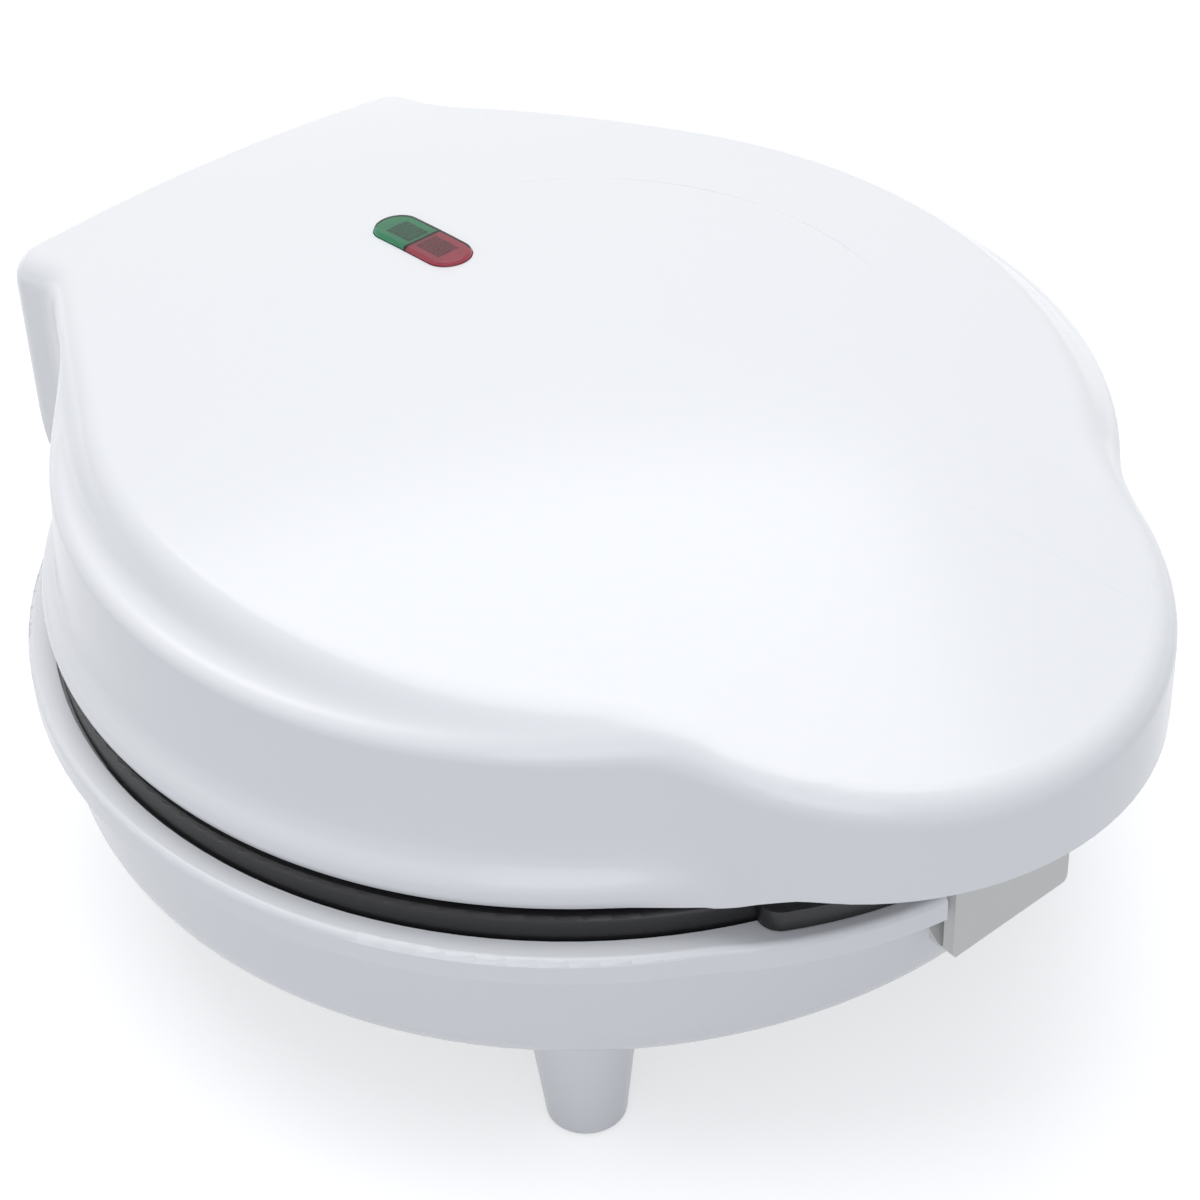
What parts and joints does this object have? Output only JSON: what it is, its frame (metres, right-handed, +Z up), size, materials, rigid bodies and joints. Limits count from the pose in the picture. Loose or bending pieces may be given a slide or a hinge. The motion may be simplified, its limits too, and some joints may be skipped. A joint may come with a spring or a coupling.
{
  "type": "mini donut maker",
  "caption": "Countertop mini donut maker, closed: white domed lid with front handle and latch, round bowl base on cone feet, non-stick plates with ring cavities inside.",
  "frame": {"origin": "bottom centre of the bounding box, on the surface it stands on", "axes": "+Z up, -Y towards the handle and latch, +X to the user's right"},
  "size_m": [0.2076, 0.238, 0.1055],
  "materials": {
    "white_shell": "gloss moulded",
    "latch_plastic": "satin moulded",
    "pad_rubber": "matte",
    "nonstick": "satin non-stick coat on cast aluminium",
    "element_sheath": "dull",
    "shield_sheet": "mill",
    "steel": "zinc plated",
    "thermostat_body": "matte",
    "fuse_sleeve": "matte",
    "white_soft": "matte",
    "green_clear": "clear moulded",
    "red_clear": "clear moulded",
    "lamp_glass": "clear"
  },
  "bodies": {
    "base": {"base_shell": "white_shell", "foot_pads": "pad_rubber", "lower_plate": "nonstick", "lower_element": "element_sheath", "lower_heat_shield": "shield_sheet", "lower_plate_screws": "steel", "hinge_pins": "steel", "cord_bushing": "white_soft", "terminal_block": "white_soft", "terminal_screw": "steel"},
    "lid": {"lid_shell": "white_shell", "upper_plate": "nonstick", "upper_element": "element_sheath", "upper_heat_shield": "shield_sheet", "upper_plate_screws": "steel", "thermostat": "thermostat_body", "thermal_fuse": "fuse_sleeve", "fuse_clip": "shield_sheet", "fuse_clip_screw": "steel", "green_lens": "green_clear", "red_lens": "red_clear", "lamp_holder": "white_soft", "red_lamp": "lamp_glass", "green_lamp": "lamp_glass", "lamp_holder_screws": "steel", "latch_pin": "steel"},
    "latch": {"latch": "latch_plastic"}
  },
  "joints": [
    {"name": "lid_hinge", "type": "hinge", "parent": "base", "child": "lid", "pos_m": [0, 0.106, 0.066], "axis": [-1, 0, 0], "range_deg": [0, 100]},
    {"name": "latch_swing", "type": "hinge", "parent": "lid", "child": "latch", "pos_m": [0, -0.1032, 0.075], "axis": [-1, 0, 0], "range_deg": [0, 28]}
  ]
}
